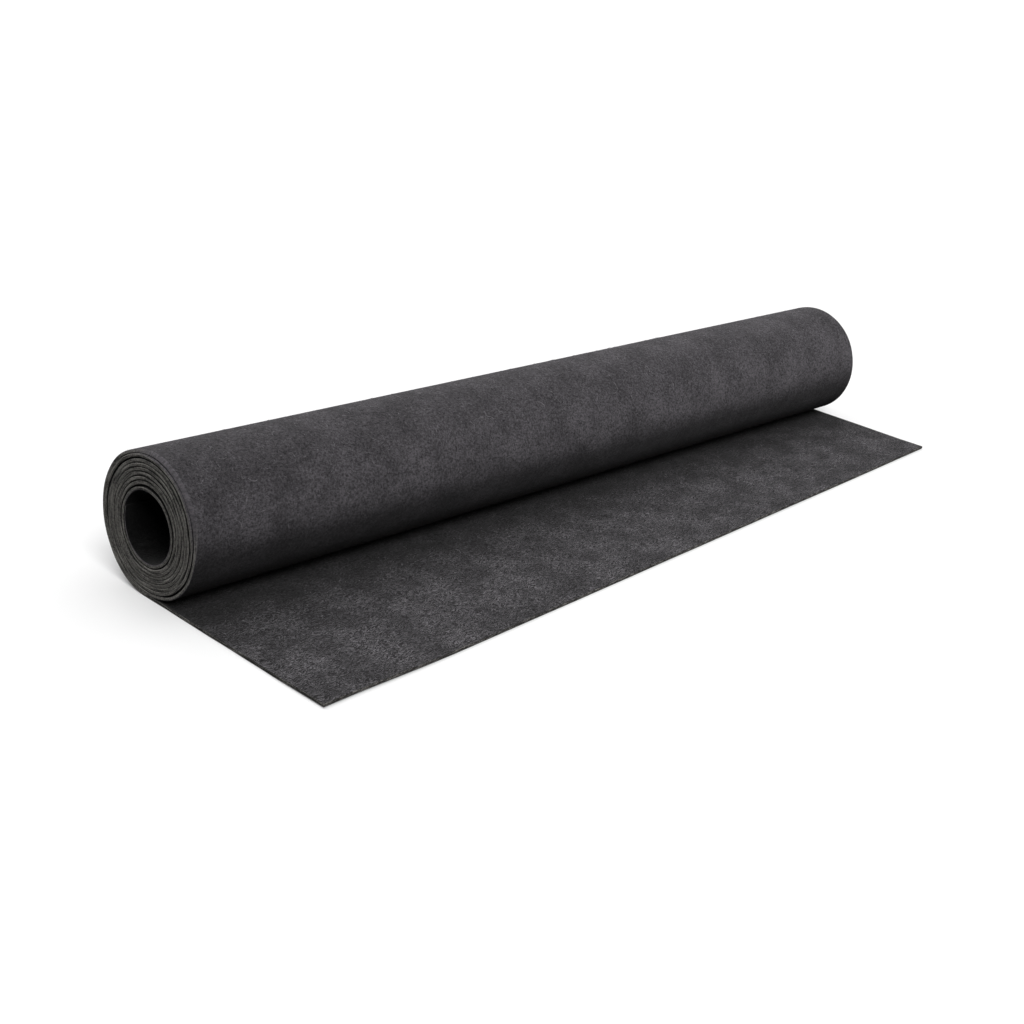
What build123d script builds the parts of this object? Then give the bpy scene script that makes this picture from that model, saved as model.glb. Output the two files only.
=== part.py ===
# Roll of felt: one sheet wound about an open bore, its outer end laid out flat in front.
# X runs along the roll, +Z is up and the loose end points to -Y. Lengths in mm, angles in degrees.
import os
from math import cos, radians, sin

from build123d import *

os.makedirs("parts", exist_ok=True)

# The sheet
sheet_width = 1000.0
sheet_thick = 3.0

# Loose end, measured from the line where the roll rests: its cut is out of square with the roll
tail_left = 232.0
tail_right = 177.0

# Winding, seen against X: angles run from +Y towards +Z
bore_radius = 32.0
inner_edge_angle = -32.0
climb_angle = 70.0
climb_gap = 0.3
turn_gap = 0.3
outer_gap = 1.1
tight_turns = 7

# Each turn sits this far off the one inside it, so the turns are tight below and slack above
turn_shift = Vector(-0.15, 0.1)

# The turns stand clear of each other for this depth at both ends
open_depth = 8.0

# Where the wound body meets the top of its own loose end
nip_angle = 8.0


def ray(angle):
    return Vector(cos(radians(angle)), sin(radians(angle)))


# Arcs of the sheet's outer face from the inner edge outwards: centre, radius, start angle, end angle
ring_radius = bore_radius + sheet_thick
ring_end = inner_edge_angle - 360 + climb_angle
wound = [(Vector(0, 0), ring_radius, inner_edge_angle, ring_end)]

# The sheet climbs over its own inner edge in two arcs that meet halfway
climb_end = ring_end - climb_angle
climb_middle = ring_end - climb_angle / 2
climb_height = sheet_thick + climb_gap
lean = climb_height / (2 * (1 - cos(radians(climb_angle / 2))))
wound.append((ray(ring_end) * -lean, ring_radius + lean, ring_end, climb_middle))
wound.append((ray(climb_end) * lean, ring_radius + climb_height - lean, climb_middle, climb_end))

# From there it runs as quarter circles, each a little larger than the one inside it
centre = Vector(0, 0)
radius = ring_radius + climb_height
angle = -90.0 - 360.0
wound.append((centre, radius, climb_end, angle))
for gap in [turn_gap] * tight_turns + [outer_gap]:
    for quarter in range(4):
        step = (sheet_thick + gap) / 4 - ray(angle).dot(turn_shift) / 2
        centre = centre - ray(angle) * step
        radius += step
        wound.append((centre, radius, angle, angle - 90))
        angle -= 90
outer_turn = wound[-4:]

# The line that the roll rests on, and the loose end's ends, seen from the bore's axis
foot = centre + Vector(0, -radius)
tail_top = foot.Y + sheet_thick
tail_edge = foot.X - tail_left

# The origin is on the floor, midway between the back of the roll and the loose end's edge
back = centre.X + radius
bore_centre = (0, -(back + tail_edge) / 2, -foot.Y)
section = Plane(bore_centre, x_dir=(0, 1, 0), z_dir=(1, 0, 0))
left_end = section.offset(-sheet_width / 2)
right_end = section.offset(sheet_width / 2 - open_depth)
body_start = section.offset(-sheet_width / 2 + open_depth)

with BuildPart() as felt_roll:
    # Both ends: the sheet's own section, wound with air between its turns
    with BuildSketch(left_end, right_end):
        with BuildLine():
            for centre, radius, start, end in wound:
                CenterArc(centre, radius, start, end - start)
                CenterArc(centre, radius - sheet_thick, start, end - start)
            Line(ray(inner_edge_angle) * bore_radius, ray(inner_edge_angle) * ring_radius)
            Polyline((foot.X, foot.Y), (tail_edge, foot.Y), (tail_edge, tail_top), (foot.X, tail_top))
        make_face()
    extrude(amount=open_depth)

    # Between them: the wound body in one piece with the sheet it rests on
    with BuildSketch(body_start):
        with BuildLine():
            for centre, radius, start, end in outer_turn[1:]:
                CenterArc(centre, radius, start, end - start)
            centre, radius, start, end = outer_turn[0]
            CenterArc(centre, radius, start - nip_angle, end - start + nip_angle)
            nip = centre + ray(start - nip_angle) * radius
            Polyline(
                (foot.X, foot.Y),
                (tail_edge, foot.Y),
                (tail_edge, tail_top),
                (nip.X, tail_top),
                (nip.X, nip.Y),
            )
        make_face()
        Circle(bore_radius, mode=Mode.SUBTRACT)
    extrude(amount=sheet_width - 2 * open_depth)

    # The loose end is cut across at a slight angle
    with BuildSketch(Plane.XY):
        cut_start = bore_centre[1] + tail_edge
        with BuildLine():
            Polyline(
                (-sheet_width / 2, cut_start),
                (sheet_width / 2, cut_start),
                (sheet_width / 2, cut_start + tail_left - tail_right),
                close=True,
            )
        make_face()
    extrude(amount=sheet_thick, mode=Mode.SUBTRACT)

felt_roll.part.label = "felt_roll"
export_step(felt_roll.part, "parts/felt_roll.step")
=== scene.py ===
import math

import bpy
from mathutils import Euler, Matrix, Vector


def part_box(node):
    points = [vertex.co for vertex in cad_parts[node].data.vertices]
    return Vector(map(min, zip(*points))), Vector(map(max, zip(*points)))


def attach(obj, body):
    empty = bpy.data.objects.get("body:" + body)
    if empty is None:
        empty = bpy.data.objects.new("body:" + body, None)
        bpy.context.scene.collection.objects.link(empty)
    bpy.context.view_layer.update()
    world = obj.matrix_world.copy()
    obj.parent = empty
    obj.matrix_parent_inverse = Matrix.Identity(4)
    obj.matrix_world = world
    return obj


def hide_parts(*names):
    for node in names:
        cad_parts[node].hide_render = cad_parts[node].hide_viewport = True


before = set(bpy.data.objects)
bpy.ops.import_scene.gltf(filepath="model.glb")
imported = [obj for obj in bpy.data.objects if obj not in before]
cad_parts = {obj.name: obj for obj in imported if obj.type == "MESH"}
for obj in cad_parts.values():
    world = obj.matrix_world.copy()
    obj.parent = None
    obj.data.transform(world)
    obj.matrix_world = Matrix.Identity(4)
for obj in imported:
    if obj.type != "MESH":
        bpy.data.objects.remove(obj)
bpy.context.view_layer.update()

# The felt sheet
# One length of thick needled felt, cut a metre wide. It is wound up from its inner edge about
# nothing, so the middle is an open bore, and the last of it is pulled out flat on the floor.
sheet_width = 1.0
sheet_thick = 0.003
bore_radius = 0.0317
ring_gap = 0.0006
turn_gap = 0.00028
outer_gap = 0.0009
turns = 9.3
feathered_turns = 0.3
tail_left = 0.232
tail_right = 0.1788
rows_per_turn = 100
columns = 29
points_in_depth = 7

felt_low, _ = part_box("felt_roll")
foot_line = felt_low.y + tail_left
pitch = sheet_thick + turn_gap
whole_layers = turns - feathered_turns
outer_radius = bore_radius + sheet_thick / 2 + ring_gap + outer_gap + pitch * whole_layers
outermost_turn = 2 * math.pi * (outer_radius - pitch / 2)
tail_turns = tail_left / (2 * math.pi * outer_radius)


def place(tree, kind, inputs=None, **settings):
    """Puts a node in the tree, with its own settings and with values or sockets on its inputs."""
    node = tree.nodes.new(kind)
    for name, value in settings.items():
        setattr(node, name, value)
    for name, value in (inputs or {}).items():
        if isinstance(value, bpy.types.NodeSocket):
            tree.links.new(value, node.inputs[name])
        else:
            node.inputs[name].default_value = value
    return node


def maths(tree, operation, *values):
    """One step of arithmetic on numbers or sockets."""
    step = place(tree, "ShaderNodeMath", operation=operation)
    for socket, value in zip(step.inputs, values):
        if isinstance(value, bpy.types.NodeSocket):
            tree.links.new(value, socket)
        else:
            socket.default_value = value
    return step.outputs[0]


def total(tree, *values):
    """The sum of several numbers or sockets."""
    result = values[0]
    for value in values[1:]:
        result = maths(tree, "ADD", result, value)
    return result


def product(tree, *values):
    """The product of several numbers or sockets."""
    result = values[0]
    for value in values[1:]:
        result = maths(tree, "MULTIPLY", result, value)
    return result


def adjust(tree, value, gain, base):
    """The value times gain, plus base."""
    return maths(tree, "MULTIPLY_ADD", value, gain, base)


def ease(tree, value, start, end):
    """Rises smoothly from 0 at start to 1 at end."""
    limits = {"Value": value, "From Min": start, "From Max": end}
    return place(tree, "ShaderNodeMapRange", limits, interpolation_type="SMOOTHSTEP").outputs["Result"]


def mottle(tree, where, scale, detail, roughness=0.5):
    """A random pattern whose values lie about 0.5."""
    look = {"Vector": where, "Scale": scale, "Detail": detail, "Roughness": roughness}
    return place(tree, "ShaderNodeTexNoise", look).outputs[0]


def blend(tree, share, first, second):
    """Goes from the first colour to the second as share rises from 0 to 1."""
    colours = {"Factor": share, "A": first, "B": second}
    return place(tree, "ShaderNodeMix", colours, data_type="RGBA").outputs["Result"]


def new_finish(name):
    """A material whose node tree is still empty."""
    finish = bpy.data.materials.new(name)
    finish.use_nodes = True
    finish.node_tree.nodes.clear()
    return finish


felt = new_finish("charcoal_felt")
cloth = felt.node_tree

# The mesh carries the flat sheet's own coordinates: across it, along it from the line where it
# leaves the roll, and through it. It also tells the cut faces and the rims that are worn and
# painted pale as a highlight.
flat = place(cloth, "ShaderNodeAttribute", attribute_name="flat").outputs["Vector"]
flat_parts = place(cloth, "ShaderNodeSeparateXYZ", {"Vector": flat}).outputs
cut = place(cloth, "ShaderNodeAttribute", attribute_name="cut").outputs["Fac"]
rim_wear_and_highlight = place(cloth, "ShaderNodeAttribute", attribute_name="wear_and_highlight").outputs["Fac"]
inner_face = maths(cloth, "LESS_THAN", flat_parts["Z"], 0.0)
open_length = product(cloth, maths(cloth, "SUBTRACT", 1.0, inner_face), outermost_turn)
wound_in = maths(cloth, "GREATER_THAN", flat_parts["Y"], open_length)
on_tail = maths(cloth, "LESS_THAN", flat_parts["Y"], 0.0)

# Needled fibre is cloudy at arm's length, grainy close to, and crossed by paler hairs that bend
cloud_scale = 26.0
grain_scale = 440.0
bend_scale = 85.0
bend_reach = 0.013
hair_lies = (12, 47, 79, 118, 152)
hair_scale = (155.0, 1250.0, 1200.0)
hair_edges = (0.60, 0.70)
hair_offset_across = 0.031
hair_offset_along = 0.009
middle_grey = (0.5, 0.5, 0.5)
cloud = mottle(cloth, flat, cloud_scale, detail=4.0, roughness=0.62)
grain = mottle(cloth, flat, grain_scale, detail=5.0, roughness=0.85)
bend = place(cloth, "ShaderNodeTexNoise", {"Vector": flat, "Scale": bend_scale, "Detail": 1.0})
pull = place(cloth, "ShaderNodeVectorMath", {0: bend.outputs["Color"], 1: middle_grey}, operation="SUBTRACT")
shift = place(cloth, "ShaderNodeVectorMath", {0: pull.outputs[0], "Scale": bend_reach}, operation="SCALE")
curled = place(cloth, "ShaderNodeVectorMath", {0: flat, 1: shift.outputs[0]}, operation="ADD")
hairs = 0.0
for lie in hair_lies:
    way = {
        "Vector": curled.outputs[0],
        "Location": (hair_offset_across * lie, hair_offset_along * lie, 0.0),
        "Rotation": (0.0, 0.0, math.radians(lie)),
        "Scale": hair_scale,
    }
    streak = mottle(cloth, place(cloth, "ShaderNodeMapping", way).outputs[0], scale=1.0, detail=1.0)
    hairs = maths(cloth, "MAXIMUM", hairs, ease(cloth, streak, *hair_edges))

# Light and shade are painted into the faces' colour. The open faces are painted paler towards the
# far end. Round the outermost turn the upper front is painted lighter, and below it painted shade
# darkens the lower front down to where it meets the loose end. On the loose end painted shade
# deepens towards the roll, and the faces wound into the roll and the bore are painted near black as
# shade. Each change is given by where it starts and ends, in metres along the sheet, and by how
# much it adds.
painted_light_and_shade = {
    "upper front": (0.235, 0.275, 0.4),
    "lower front": (0.283, 0.314, -1.04),
    "where it meets the loose end": (0.315, 0.36, -0.25),
}
# Painted shade on the loose end, darkest next to the roll
tail_shade_reach = (-0.04, -0.165)
tail_shade_lifted = 0.64
tail_shade_by_roll = 0.17
far_end_light_gain = 0.36
cloud_depth = 1.42
cloud_base = 0.29
speck_depth = 3.4
speck_base = -1.35
wound_in_painted_shade = 0.95
outer_painted_tone = 1.0
# Painted light on the roll's upper front, and painted shade below it into the nip
for start, end, change in painted_light_and_shade.values():
    stretch = ease(cloth, flat_parts["Y"], start, end)
    outer_painted_tone = total(cloth, outer_painted_tone, product(cloth, stretch, change))
inner_painted_shade = adjust(cloth, ease(cloth, flat_parts["Y"], *tail_shade_reach), tail_shade_lifted, tail_shade_by_roll)
cloud_tone = adjust(cloth, cloud, cloud_depth, cloud_base)
# Painted shade: the faces wound into the roll and the bore's wall go near black
wound_painted_shade = adjust(cloth, wound_in, -wound_in_painted_shade, 1.0)
# Painted light: the faces grow paler towards the far end
far_end_painted_light = adjust(cloth, flat_parts["X"], far_end_light_gain, 1.0)
tone = product(cloth, cloud_tone, wound_painted_shade, far_end_painted_light)
specks = maths(cloth, "MAXIMUM", adjust(cloth, grain, speck_depth, speck_base), 0.0)

# Each face goes from its dark colour to its pale one, mostly in the specks, as far as the painted
# light and shade let it
outer_dark = (0.0015, 0.0014, 0.0015, 1.0)
outer_pale = (0.148, 0.138, 0.151, 1.0)
inner_dark = (0.001, 0.001, 0.001, 1.0)
inner_pale = (0.073, 0.068, 0.075, 1.0)
hair_pale = (0.25, 0.238, 0.253, 1.0)
outer_specks = (0.75, 0.12)
inner_specks = (0.95, -0.04)
matted_edges = (0.38, 0.62)
matted_hairs = (0.45, 0.36)
outer_share = product(cloth, tone, outer_painted_tone, adjust(cloth, specks, *outer_specks))
inner_share = product(cloth, tone, inner_painted_shade, adjust(cloth, specks, *inner_specks))
outer_colour = blend(cloth, outer_share, outer_dark, outer_pale)
inner_colour = blend(cloth, inner_share, inner_dark, inner_pale)
matted = adjust(cloth, ease(cloth, cloud, *matted_edges), *matted_hairs)
hair_share = product(cloth, hairs, matted, outer_painted_tone, inner_painted_shade, maths(cloth, "SUBTRACT", 1.0, wound_in))
haired = blend(cloth, hair_share, blend(cloth, inner_face, outer_colour, inner_colour), hair_pale)

# The cut edges show the felt's browner core in thin plies, with painted shade darkening them on
# the loose end. They fray to the colour of the faces where they are worn, and the rims round the
# outermost turn and the bore are painted pale as a highlight.
ply_scale = (150.0, 45.0, 1500.0)
ply_depth = 3.8
grain_depth = 3.8
cut_base = -3.3
# Painted shade on the loose end's cut edges
tail_cut_painted_shade = 0.4
cut_dark = (0.032, 0.0309, 0.0287, 1.0)
cut_pale = (0.270, 0.26, 0.241, 1.0)
rim_dark = (0.003, 0.0028, 0.003, 1.0)
rim_specks = (0.8, 0.4)
plies = place(cloth, "ShaderNodeMapping", {"Vector": flat, "Scale": ply_scale}).outputs[0]
ply = mottle(cloth, plies, scale=1.0, detail=2.0)
cut_share = total(
    cloth,
    product(cloth, grain, grain_depth),
    product(cloth, ply, ply_depth),
    product(cloth, on_tail, -tail_cut_painted_shade),
    cut_base,
)
cut_colour = blend(cloth, cut_share, cut_dark, cut_pale)
rim_pale_share = product(cloth, cloud_tone, adjust(cloth, specks, *rim_specks))
rim_pale_colour = blend(cloth, rim_pale_share, rim_dark, outer_pale)
cut_and_rim_colour = blend(cloth, rim_wear_and_highlight, cut_colour, rim_pale_colour)

hair_height = 0.35
cloud_height = 0.8
height = total(cloth, grain, product(cloth, hairs, hair_height), product(cloth, cloud, cloud_height))
relief = place(cloth, "ShaderNodeBump", {"Height": height, "Strength": 0.8, "Distance": 0.0007})
surface = place(
    cloth,
    "ShaderNodeBsdfPrincipled",
    {
        "Base Color": blend(cloth, cut, haired, cut_and_rim_colour),
        "Roughness": 0.93,
        "Diffuse Roughness": 1.0,
        "Specular IOR Level": 0.04,
        "Sheen Weight": 0.06,
        "Sheen Roughness": 0.6,
        "Normal": relief.outputs[0],
    },
)
place(cloth, "ShaderNodeOutputMaterial", {"Surface": surface.outputs[0]})


def swell(tree, angle, start, full, fading, end):
    """A smooth hump round the roll, in degrees: 1 from full to fading, 0 outside start and end."""
    rise = ease(tree, angle, math.radians(start), math.radians(full))
    fall = ease(tree, angle, math.radians(end), math.radians(fading))
    return product(tree, rise, fall)


def wander(tree, along, across, scale, seed):
    """Smooth random values from about -1 to 1 that change along and across the sheet."""
    where = place(tree, "ShaderNodeCombineXYZ", {"X": across, "Y": along, "Z": seed})
    return adjust(tree, mottle(tree, where.outputs[0], scale, detail=1.0), 4.0, -2.0)


def new_inputs(tree, sizes):
    """Gives a geometry tree its named inputs and returns the sockets that hold them."""
    tree.interface.new_socket("Geometry", in_out="INPUT", socket_type="NodeSocketGeometry")
    for name, value in sizes.items():
        kind = "NodeSocketInt" if isinstance(value, int) else "NodeSocketFloat"
        tree.interface.new_socket(name, in_out="INPUT", socket_type=kind).default_value = value
    tree.interface.new_socket("Geometry", in_out="OUTPUT", socket_type="NodeSocketGeometry")
    return place(tree, "NodeGroupInput").outputs


def mark(tree, geometry, name, value, **settings):
    """Stores a value on the mesh under a name, for the material and for later trees."""
    note = {"Geometry": geometry, "Name": name, "Value": value}
    return place(tree, "GeometryNodeStoreNamedAttribute", note, **settings).outputs[0]


def finish_tree(tree, geometry, material):
    """Every tree ends as plain mesh in one material."""
    real = place(tree, "GeometryNodeRealizeInstances", {"Geometry": geometry})
    dressed = place(tree, "GeometryNodeSetMaterial", {"Geometry": real.outputs[0], "Material": material})
    place(tree, "NodeGroupOutput", {"Geometry": dressed.outputs[0]})


def grow(name, tree, sizes, base=None):
    """Runs a tree on an object, keeps the result as a plain mesh and takes the modifier off."""
    piece = bpy.data.objects.new(name, base or bpy.data.meshes.new(name))
    bpy.context.scene.collection.objects.link(piece)
    work = piece.modifiers.new(name, "NODES")
    work.node_group = tree
    for item in tree.interface.items_tree:
        if item.in_out == "INPUT" and item.name in sizes:
            work[item.identifier] = sizes[item.name]
    state = bpy.context.evaluated_depsgraph_get()
    state.update()
    evaluated = piece.evaluated_get(state)
    mesh = bpy.data.meshes.new_from_object(evaluated, preserve_all_data_layers=True, depsgraph=state)
    piece.modifiers.clear()
    piece.data = mesh
    mesh.name = name
    return piece


wound = bpy.data.node_groups.new("wound_sheet", "GeometryNodeTree")
winding_sizes = {
    "Width": sheet_width,
    "Thickness": sheet_thick,
    "Bore radius": bore_radius,
    "Ring gap": ring_gap,
    "Turn gap": turn_gap,
    "Outer gap": outer_gap,
    "Lower gap": 0.0007,
    "Stand off": 0.0009,
    "Spring": 0.0007,
    "Bulge": 0.0010,
    "Sag": 0.0006,
    "Unevenness": 0.00022,
    "Least unevenness": 0.00001,
    "Turns": turns,
    "Feathered turns": feathered_turns,
    "Feathered edge": 0.15,
    "First climb": 0.55,
    "Climb per turn": 0.1,
    "Tail turns": tail_turns,
    "Tail skew": 1 - tail_right / tail_left,
    "Outer radius": outer_radius,
    "Foot line": foot_line,
    "Bore back": 0.00165,
    "Bore down": 0.0026,
    "Corner lift": 0.0005,
    "Corner cut back": 0.0036,
    "Ripple": 0.0006,
    "Edge rounding": 0.00035,
    "Rim wear": 0.0045,
    "Raggedness": 0.00055,
    "Rows": round((turns + tail_turns) * rows_per_turn),
    "Columns": columns,
    "Points in depth": points_in_depth,
}
size = new_inputs(wound, winding_sizes)

# The flat sheet is a board whose length is counted in turns, so that its rows follow the winding
span = total(wound, size["Turns"], size["Tail turns"])
board_size = place(wound, "ShaderNodeCombineXYZ", {"X": size["Width"], "Y": span, "Z": size["Thickness"]})
board = place(
    wound,
    "GeometryNodeMeshCube",
    {
        "Size": board_size.outputs[0],
        "Vertices X": size["Columns"],
        "Vertices Y": size["Rows"],
        "Vertices Z": size["Points in depth"],
    },
)
point = place(wound, "GeometryNodeInputPosition").outputs[0]
on_board = place(wound, "ShaderNodeSeparateXYZ", {"Vector": point}).outputs
across = on_board["X"]
depth = on_board["Z"]
half_thick = product(wound, size["Thickness"], 0.5)
before_contact = product(wound, size["Tail turns"], -1.0)
past_contact = total(wound, on_board["Y"], product(wound, span, 0.5), before_contact)
wrapped = maths(wound, "MAXIMUM", past_contact, 0.0)
pulled_out = maths(wound, "MINIMUM", past_contact, 0.0)
left = maths(wound, "SUBTRACT", size["Turns"], wrapped)
angle = product(wound, wrapped, 2 * math.pi)
round_angle = product(wound, maths(wound, "FRACT", wrapped), 2 * math.pi)

# The inner edge is worn thin, and each turn climbs over it, more gently the further out it lies
taper_gained = maths(wound, "SUBTRACT", 1.0, size["Feathered edge"])
taper = adjust(wound, ease(wound, left, 0.0, size["Feathered turns"]), taper_gained, size["Feathered edge"])
covered = maths(wound, "MAXIMUM", maths(wound, "SUBTRACT", left, size["Feathered turns"]), 0.0)
whole = maths(wound, "FLOOR", covered)
part = maths(wound, "SUBTRACT", covered, whole)
climb = maths(wound, "MINIMUM", adjust(wound, whole, size["Climb per turn"], size["First climb"]), 1.0)
layers = total(wound, whole, ease(wound, part, maths(wound, "SUBTRACT", 1.0, climb), 1.0))
step = total(wound, size["Thickness"], size["Turn gap"])

# Where the flat sheet's points lie along it, in metres, for the pattern
mean_radius = maths(wound, "SUBTRACT", size["Outer radius"], product(wound, wrapped, step, 0.5))
tail_along = product(wound, pulled_out, size["Outer radius"], 2 * math.pi)
along = total(wound, product(wound, angle, mean_radius), tail_along)

# The roll is slack. The turns stand off the innermost one and apart underneath, the outer two
# spring out at the back, and all sag towards the front, the outermost one the most. Each hump is
# given in degrees from the floor, round by the back.
stand_off_hump = (120, 205, 300, 358)
lower_hump = (0, 15, 90, 130)
spring_hump = (50, 105, 125, 162)
bulge_hump = (240, 305, 322, 358)
sag_hump = (235, 305, 325, 356)
drawn_in_hump = (250, 285, 330, 358)
turns_parted = 8.0
bulging_turns = (6.5, 1.5)
outer_pair_edge = (2.2, 1.8)
tightest_at = 25
uneven_scale = 9.0
uneven_seed = 3.0
outermost = maths(wound, "LESS_THAN", wrapped, 1.0)
outer_two = maths(wound, "LESS_THAN", wrapped, 2.0)
not_innermost = maths(wound, "GREATER_THAN", left, 1.0)
parted = maths(wound, "LESS_THAN", wrapped, turns_parted)
second_drawn_in = product(
    wound, maths(wound, "GREATER_THAN", wrapped, 1.0), swell(wound, round_angle, *drawn_in_hump)
)
outer_pair = product(
    wound, ease(wound, wrapped, *outer_pair_edge), maths(wound, "SUBTRACT", 1.0, second_drawn_in)
)
stand_off = product(wound, not_innermost, swell(wound, round_angle, *stand_off_hump))
lower_gap = product(wound, parted, swell(wound, round_angle, *lower_hump))
spring = product(wound, outer_two, swell(wound, round_angle, *spring_hump))
bulge = product(wound, ease(wound, wrapped, *bulging_turns), swell(wound, round_angle, *bulge_hump))
sag = product(wound, outermost, swell(wound, round_angle, *sag_hump))
from_tightest = total(wound, angle, -math.radians(tightest_at))
slack = adjust(wound, maths(wound, "COSINE", from_tightest), -0.5, 0.5)
unevenness = product(
    wound, wander(wound, along, 0.0, uneven_scale, uneven_seed), maths(wound, "MINIMUM", wrapped, 1.0)
)
radius = total(
    wound,
    size["Bore radius"],
    half_thick,
    product(wound, layers, step),
    product(wound, maths(wound, "MINIMUM", layers, 1.0), size["Ring gap"]),
    product(wound, outer_pair, size["Outer gap"]),
    product(wound, lower_gap, size["Lower gap"]),
    product(wound, stand_off, size["Stand off"]),
    product(wound, spring, size["Spring"]),
    product(wound, bulge, size["Bulge"]),
    product(wound, sag, size["Sag"]),
    product(wound, unevenness, adjust(wound, slack, size["Unevenness"], size["Least unevenness"])),
)

# Each turn lies about its own centre, the inner ones further back and lower than the outer ones
from_inner_face = product(wound, total(wound, depth, half_thick), taper)
reach = total(wound, radius, from_inner_face, product(wound, half_thick, -1.0))
inward = maths(wound, "DIVIDE", wrapped, size["Turns"])
inward_down = product(wound, inward, product(wound, size["Bore down"], -1.0))
centre_y = total(wound, size["Foot line"], product(wound, inward, size["Bore back"]))
centre_z = total(wound, size["Outer radius"], half_thick, inward_down)
wound_y = total(wound, centre_y, product(wound, reach, maths(wound, "SINE", angle)))
wound_z = maths(wound, "SUBTRACT", centre_z, product(wound, reach, maths(wound, "COSINE", angle)))

# The loose end's cut is out of square and curves back to its corner by the near end, which lifts
# just off the floor. Both places are shares of the sheet's width and of the loose end's length.
lifted_width = 0.42
lifted_length = (0.35, 1.0)
curved_width = 0.14
ripple_scale = 7.0
ripple_seed = 5.0
rippled_length = (0.25, 0.9)
to_the_right = total(wound, maths(wound, "DIVIDE", across, size["Width"]), 0.5)
shortened = maths(wound, "SUBTRACT", 1.0, product(wound, to_the_right, size["Tail skew"]))
tail_reach = product(wound, tail_along, shortened)
out = product(wound, pulled_out, maths(wound, "DIVIDE", -1.0, size["Tail turns"]))
near_corner = ease(wound, to_the_right, lifted_width, 0.0)
lift = product(wound, size["Corner lift"], near_corner, ease(wound, out, *lifted_length))
waves = wander(wound, along, across, ripple_scale, ripple_seed)
ripple = product(wound, waves, size["Ripple"], ease(wound, out, *rippled_length))
raised = maths(wound, "MAXIMUM", total(wound, lift, ripple), 0.0)
curve = ease(wound, to_the_right, curved_width, 0.0)
cut_back = product(wound, size["Corner cut back"], curve, maths(wound, "POWER", out, 4.0))

# Cut corners are softened, the near end's rim is rubbed away at the upper front over the outer
# two turns, and the edges of the sheet are a little ragged
rubbed_hump = (140, 190, 245, 285)
worn_from = (0.1, 0.5)
corner_highlight = 0.9
ragged_scale = 14.0
ragged_seed = 8.0
front_edge = (0.985, 1.0)
from_middle = maths(wound, "DIVIDE", maths(wound, "ABSOLUTE", depth), half_thick)
softened = product(wound, maths(wound, "POWER", from_middle, 4.0), size["Edge rounding"])
above_second = total(wound, product(wound, outermost, step), from_inner_face)
into_rim = maths(wound, "DIVIDE", above_second, total(wound, step, size["Thickness"]))
worn_part = product(wound, swell(wound, round_angle, *rubbed_hump), outer_two)
rubbed = product(wound, worn_part, maths(wound, "POWER", into_rim, 2.0))
near_end = maths(wound, "LESS_THAN", across, 0.0)
worn_away = product(wound, size["Rim wear"], rubbed, near_end)
ragged = product(wound, wander(wound, along, across, ragged_scale, ragged_seed), size["Raggedness"])
trimmed = maths(wound, "SUBTRACT", ragged, total(wound, softened, worn_away))
end_from = product(wound, size["Width"], 0.4999)
at_end = maths(wound, "GREATER_THAN", maths(wound, "ABSOLUTE", across), end_from)
end_shift = product(wound, maths(wound, "SIGN", across), at_end, trimmed)
front_shift = product(wound, softened, ease(wound, out, *front_edge))
full_x = total(wound, across, end_shift)
full_y = total(wound, wound_y, tail_reach, front_shift, cut_back)
full_z = total(wound, wound_z, raised)

# The mesh keeps the flat coordinates, the rims that are worn and painted pale as a highlight, and
# the cut faces, except the feathered edge
corner_from = 0.3
edgewise_below = 0.5
feathered_tip = 0.001
# Painted highlight: pale rims along the outermost turn's outer corner and the bore's inner corner
outer_corner = ease(wound, depth, product(wound, half_thick, corner_from), half_thick)
inner_corner = ease(wound, depth, 0.0, product(wound, half_thick, -1.0))
outer_wear_and_highlight = maths(
    wound,
    "MAXIMUM",
    product(wound, worn_part, ease(wound, into_rim, *worn_from)),
    product(wound, outermost, outer_corner, corner_highlight),
)
bore_rim_highlight = product(wound, maths(wound, "LESS_THAN", left, 1.0), inner_corner)
facing = place(wound, "ShaderNodeSeparateXYZ", {"Vector": place(wound, "GeometryNodeInputNormal").outputs[0]})
edgewise = maths(wound, "LESS_THAN", maths(wound, "ABSOLUTE", facing.outputs["Z"]), edgewise_below)
bare_cut = product(wound, edgewise, maths(wound, "GREATER_THAN", left, feathered_tip))
flat_place = place(wound, "ShaderNodeCombineXYZ", {"X": across, "Y": along, "Z": depth}).outputs[0]
sheet = mark(wound, board.outputs["Mesh"], "flat", flat_place, data_type="FLOAT_VECTOR")
sheet = mark(wound, sheet, "wear_and_highlight", maths(wound, "MAXIMUM", outer_wear_and_highlight, bore_rim_highlight), data_type="FLOAT")
sheet = mark(wound, sheet, "cut", bare_cut, data_type="FLOAT", domain="FACE")

sharp_corner = math.radians(50)
rolled_place = place(wound, "ShaderNodeCombineXYZ", {"X": full_x, "Y": full_y, "Z": full_z}).outputs[0]
rolled = place(wound, "GeometryNodeSetPosition", {"Geometry": sheet, "Position": rolled_place})
corner = place(wound, "GeometryNodeInputMeshEdgeAngle").outputs["Unsigned Angle"]
smooth = place(
    wound,
    "GeometryNodeSetShadeSmooth",
    {"Geometry": rolled.outputs[0], "Shade Smooth": maths(wound, "LESS_THAN", corner, sharp_corner)},
    domain="EDGE",
)
finish_tree(wound, smooth.outputs[0], felt)

roll = grow("felt_sheet", wound, winding_sizes)
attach(roll, "root")
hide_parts("felt_roll")

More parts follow.
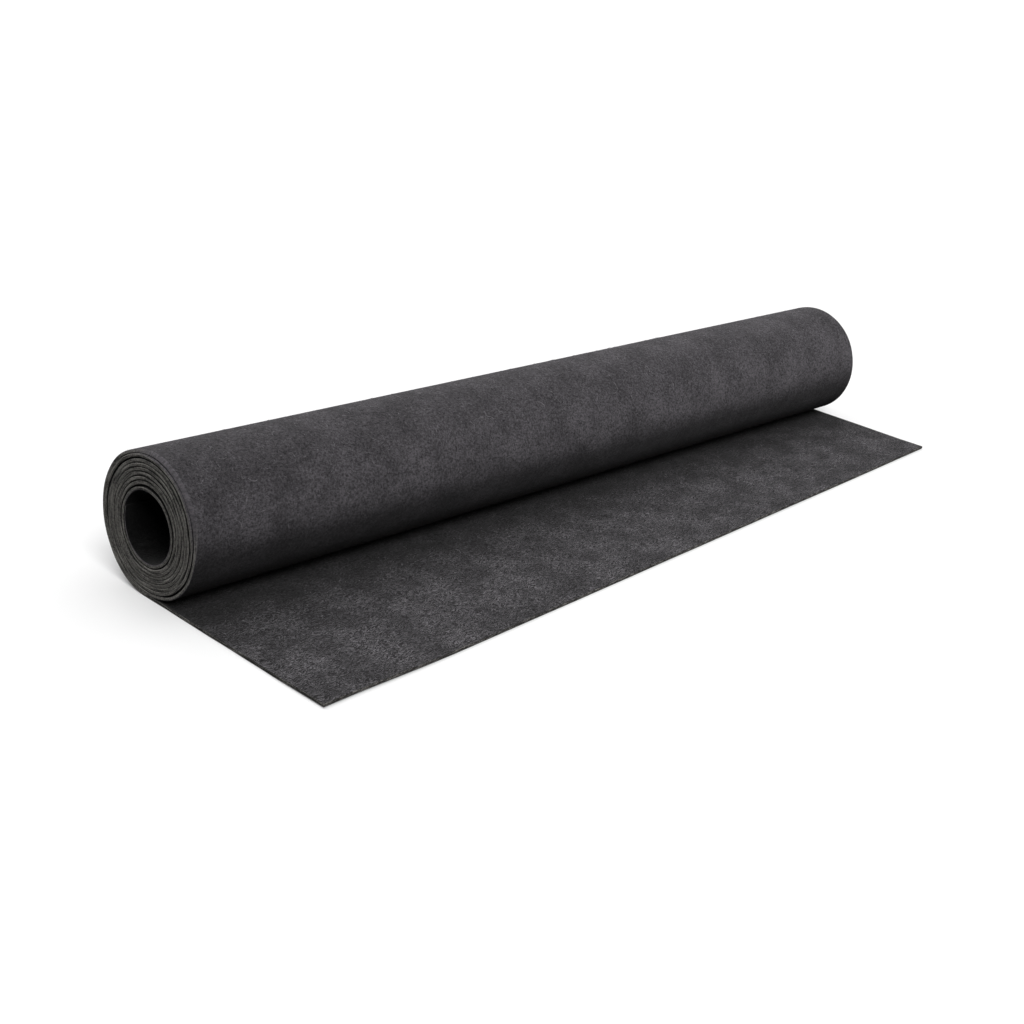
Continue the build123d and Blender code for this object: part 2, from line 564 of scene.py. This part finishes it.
# The loose fibres
# Short hairs of the felt's own fibre that the needles left free. They lie every way on its open
# faces, a little proud of them. On the cut ends they are shorter and closer together.
fibre = new_finish("pale_fibre")
strand = fibre.node_tree
fibre_dark = (0.05, 0.047, 0.051, 1.0)
fibre_pale = (0.34, 0.327, 0.344, 1.0)
patch_scale = 240.0
patch_depth = 2.4
patch_base = -0.5
place_on_roll = place(strand, "ShaderNodeTexCoord").outputs["Object"]
patches = mottle(strand, place_on_roll, patch_scale, detail=2.0)
patchy = adjust(strand, patches, patch_depth, patch_base)
fibre_surface = place(
    strand,
    "ShaderNodeBsdfPrincipled",
    {
        "Base Color": blend(strand, patchy, fibre_dark, fibre_pale),
        "Roughness": 0.7,
        "Specular IOR Level": 0.05,
    },
)
place(strand, "ShaderNodeOutputMaterial", {"Surface": fibre_surface.outputs[0]})

fuzz = bpy.data.node_groups.new("loose_fibres", "GeometryNodeTree")
fibre_sizes = {
    "Fibre length": 0.0065,
    "Fibre radius": 0.00012,
    "Fibres per square metre": 14000.0,
    "Denser on cuts": 3.0,
    "Shorter on cuts": 0.75,
    "Bow": 0.8,
    "Rise": 0.1,
    "Tip rise": 0.02,
    "Thickness": sheet_thick,
    "Outermost turn": outermost_turn,
    "Clear of floor": 0.03,
    "Seed": 11,
}
fibre_size = new_inputs(fuzz, fibre_sizes)

# Open faces: the outermost turn's outside, the top of the loose end, and every cut. The faces
# are bare close to their edges and where the roll comes down on the loose end.
bare_edge = 0.003
full_cover = 0.009
bare_underneath = (0.3, 0.25)
bare_by_roll = (-0.04, -0.1)
flat_note = place(fuzz, "GeometryNodeInputNamedAttribute", {"Name": "flat"}, data_type="FLOAT_VECTOR")
on_sheet = place(fuzz, "ShaderNodeSeparateXYZ", {"Vector": flat_note.outputs["Attribute"]}).outputs
cut_note = place(fuzz, "GeometryNodeInputNamedAttribute", {"Name": "cut"}, data_type="FLOAT")
cut_face = cut_note.outputs["Attribute"]
face_depth = product(fuzz, fibre_size["Thickness"], 0.49)
outside = product(
    fuzz,
    maths(fuzz, "GREATER_THAN", on_sheet["Z"], face_depth),
    maths(fuzz, "GREATER_THAN", on_sheet["Y"], fibre_size["Clear of floor"]),
    maths(fuzz, "LESS_THAN", on_sheet["Y"], fibre_size["Outermost turn"]),
    ease(fuzz, on_sheet["Y"], *bare_underneath),
)
top_of_tail = product(
    fuzz,
    maths(fuzz, "LESS_THAN", on_sheet["Z"], product(fuzz, face_depth, -1.0)),
    maths(fuzz, "LESS_THAN", on_sheet["Y"], 0.0),
    ease(fuzz, on_sheet["Y"], bare_edge - tail_left, full_cover - tail_left),
    ease(fuzz, on_sheet["Y"], *bare_by_roll),
)
from_centre = maths(fuzz, "ABSOLUTE", on_sheet["X"])
inside_ends = ease(fuzz, from_centre, sheet_width / 2 - bare_edge, sheet_width / 2 - full_cover)
on_faces = product(fuzz, total(fuzz, outside, top_of_tail), inside_ends)
share = total(fuzz, on_faces, product(fuzz, cut_face, fibre_size["Denser on cuts"]))
scatter = place(
    fuzz,
    "GeometryNodeDistributePointsOnFaces",
    {
        "Mesh": fibre_size["Geometry"],
        "Density": product(fuzz, share, fibre_size["Fibres per square metre"]),
        "Seed": fibre_size["Seed"],
    },
)

# One fibre: a low three-sided arc
fibre_steps = 3
fibre_sides = 3
half_way = product(fuzz, fibre_size["Fibre length"], 0.5)
bow = product(fuzz, half_way, fibre_size["Bow"])
rise = product(fuzz, half_way, fibre_size["Rise"])
tip_rise = product(fuzz, half_way, fibre_size["Tip rise"])
crown = place(fuzz, "ShaderNodeCombineXYZ", {"X": half_way, "Y": bow, "Z": rise}).outputs[0]
tip = place(fuzz, "ShaderNodeCombineXYZ", {"X": fibre_size["Fibre length"], "Z": tip_rise}).outputs[0]
arc = place(
    fuzz,
    "GeometryNodeCurveQuadraticBezier",
    {"Resolution": fibre_steps, "Start": (0.0, 0.0, 0.0), "Middle": crown, "End": tip},
)
section = place(
    fuzz,
    "GeometryNodeCurvePrimitiveCircle",
    {"Resolution": fibre_sides, "Radius": fibre_size["Fibre radius"]},
)
one_fibre = place(
    fuzz,
    "GeometryNodeCurveToMesh",
    {"Curve": arc.outputs[0], "Profile Curve": section.outputs["Curve"], "Fill Caps": True},
)


def vary(tree, low, high, seed):
    """A random number for each fibre, from low to high."""
    limits = {"Min": low, "Max": high, "Seed": seed}
    return place(tree, "FunctionNodeRandomValue", limits, data_type="FLOAT").outputs["Value"]


lean_range = (-0.05, 0.03)
growth_range = (0.5, 1.4)
spin = vary(fuzz, 0.0, 2 * math.pi, seed=1)
lean = vary(fuzz, *lean_range, seed=2)
growth = vary(fuzz, *growth_range, seed=3)
leaned = place(fuzz, "ShaderNodeCombineXYZ", {"Y": lean, "Z": spin}).outputs[0]
laid = place(
    fuzz,
    "FunctionNodeRotateRotation",
    {
        "Rotation": scatter.outputs["Rotation"],
        "Rotate By": place(fuzz, "FunctionNodeEulerToRotation", {0: leaned}).outputs[0],
    },
    rotation_space="LOCAL",
)
shorter = adjust(fuzz, cut_face, product(fuzz, fibre_size["Shorter on cuts"], -1.0), 1.0)
planted = place(
    fuzz,
    "GeometryNodeInstanceOnPoints",
    {
        "Points": scatter.outputs["Points"],
        "Instance": one_fibre.outputs[0],
        "Rotation": laid.outputs[0],
        "Scale": product(fuzz, growth, shorter),
    },
)

# None goes through the floor
fibres = place(fuzz, "GeometryNodeRealizeInstances", {"Geometry": planted.outputs[0]})
fibre_point = place(fuzz, "GeometryNodeInputPosition").outputs[0]
parts = place(fuzz, "ShaderNodeSeparateXYZ", {"Vector": fibre_point}).outputs
not_below = maths(fuzz, "MAXIMUM", parts["Z"], 0.0)
above = place(fuzz, "ShaderNodeCombineXYZ", {"X": parts["X"], "Y": parts["Y"], "Z": not_below}).outputs[0]
grounded = place(fuzz, "GeometryNodeSetPosition", {"Geometry": fibres.outputs[0], "Position": above})
finish_tree(fuzz, grounded.outputs[0], fibre)

loose_fibres = grow("loose_fibres", fuzz, fibre_sizes, roll.data.copy())
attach(loose_fibres, "root")

# The floor
# A plain pale floor, which shows white where nothing shades it and keeps the roll's soft shadow.
# It throws less light back at the felt than its colour would.
floor_reach = 30
floor_mesh = bpy.data.meshes.new("floor")
floor_corners = [(x * floor_reach, y * floor_reach, 0) for x, y in ((-1, -1), (1, -1), (1, 1), (-1, 1))]
floor_mesh.from_pydata(floor_corners, [], [(0, 1, 2, 3)])
floor = bpy.data.objects.new("floor", floor_mesh)
bpy.context.scene.collection.objects.link(floor)
pale = new_finish("pale_floor")
ground = pale.node_tree
dull_grey = (0.05, 0.05, 0.05, 1.0)
pale_grey = (0.75, 0.75, 0.75, 1.0)
white = (1.0, 1.0, 1.0, 1.0)
thrown_back = place(ground, "ShaderNodeBsdfDiffuse", {"Color": dull_grey})
matt = place(ground, "ShaderNodeBsdfDiffuse", {"Color": pale_grey})
glow = place(ground, "ShaderNodeEmission", {"Color": white, "Strength": 0.15})
shown = place(ground, "ShaderNodeAddShader", {0: matt.outputs[0], 1: glow.outputs[0]})
seen = place(ground, "ShaderNodeLightPath").outputs["Is Camera Ray"]
either = place(ground, "ShaderNodeMixShader", {0: seen, 1: thrown_back.outputs[0], 2: shown.outputs[0]})
place(ground, "ShaderNodeOutputMaterial", {"Surface": either.outputs[0]})
floor_mesh.materials.append(pale)

# The light
# A large soft lamp overhead, a smaller one in front of the roll and a weak one behind it, in a
# dim room.
for name, energy, spread, turned in (
    ("overhead", 2.1, 90, (-5, 12, 0)),
    ("front", 1.7, 30, (42, 0, -25)),
    ("behind", 0.8, 50, (-52, 0, 0)),
):
    lamp = bpy.data.lights.new(name, "SUN")
    lamp.energy = energy
    lamp.angle = math.radians(spread)
    stand = bpy.data.objects.new(name, lamp)
    stand.rotation_euler = [math.radians(degrees) for degrees in turned]
    bpy.context.scene.collection.objects.link(stand)

from_ceiling = 0.04
from_walls = 0.002
room = bpy.data.worlds.new("room")
bpy.context.scene.world = room
room.use_nodes = True
air = room.node_tree
air.nodes.clear()
rays = place(air, "ShaderNodeLightPath").outputs
showing = maths(air, "MAXIMUM", rays["Is Camera Ray"], rays["Is Glossy Ray"])
showing = maths(air, "MAXIMUM", showing, rays["Is Transmission Ray"])
towards = place(air, "ShaderNodeTexCoord").outputs["Generated"]
upwards = place(air, "ShaderNodeSeparateXYZ", {"Vector": towards}).outputs["Z"]
ceiling = adjust(air, maths(air, "MAXIMUM", upwards, 0.0), from_ceiling, from_walls)
dim = place(air, "ShaderNodeBackground", {"Color": white, "Strength": ceiling})
backdrop = place(air, "ShaderNodeBackground", {"Color": white, "Strength": 1.0})
sky = place(air, "ShaderNodeMixShader", {0: showing, 1: dim.outputs[0], 2: backdrop.outputs[0]})
place(air, "ShaderNodeOutputWorld", {"Surface": sky.outputs[0]})

# The camera
# It looks down the roll from beyond its near end, turned a little on its own axis.
looks_down = 22.213
looks_round = -49.406
leans = 6.731
stands_at = (-1.195, -0.9035, 0.5939)
lens = bpy.data.cameras.new("camera")
lens.lens = 54.63
lens.sensor_width = 36.0
camera = bpy.data.objects.new("camera", lens)
aim = Euler((math.radians(90 - looks_down), 0.0, math.radians(looks_round))).to_matrix()
lean_over = Matrix.Rotation(math.radians(leans), 3, "Z")
camera.matrix_world = Matrix.Translation(stands_at) @ (aim @ lean_over).to_4x4()
bpy.context.scene.collection.objects.link(camera)
bpy.context.scene.camera = camera
bpy.context.scene.view_settings.view_transform = "Standard"
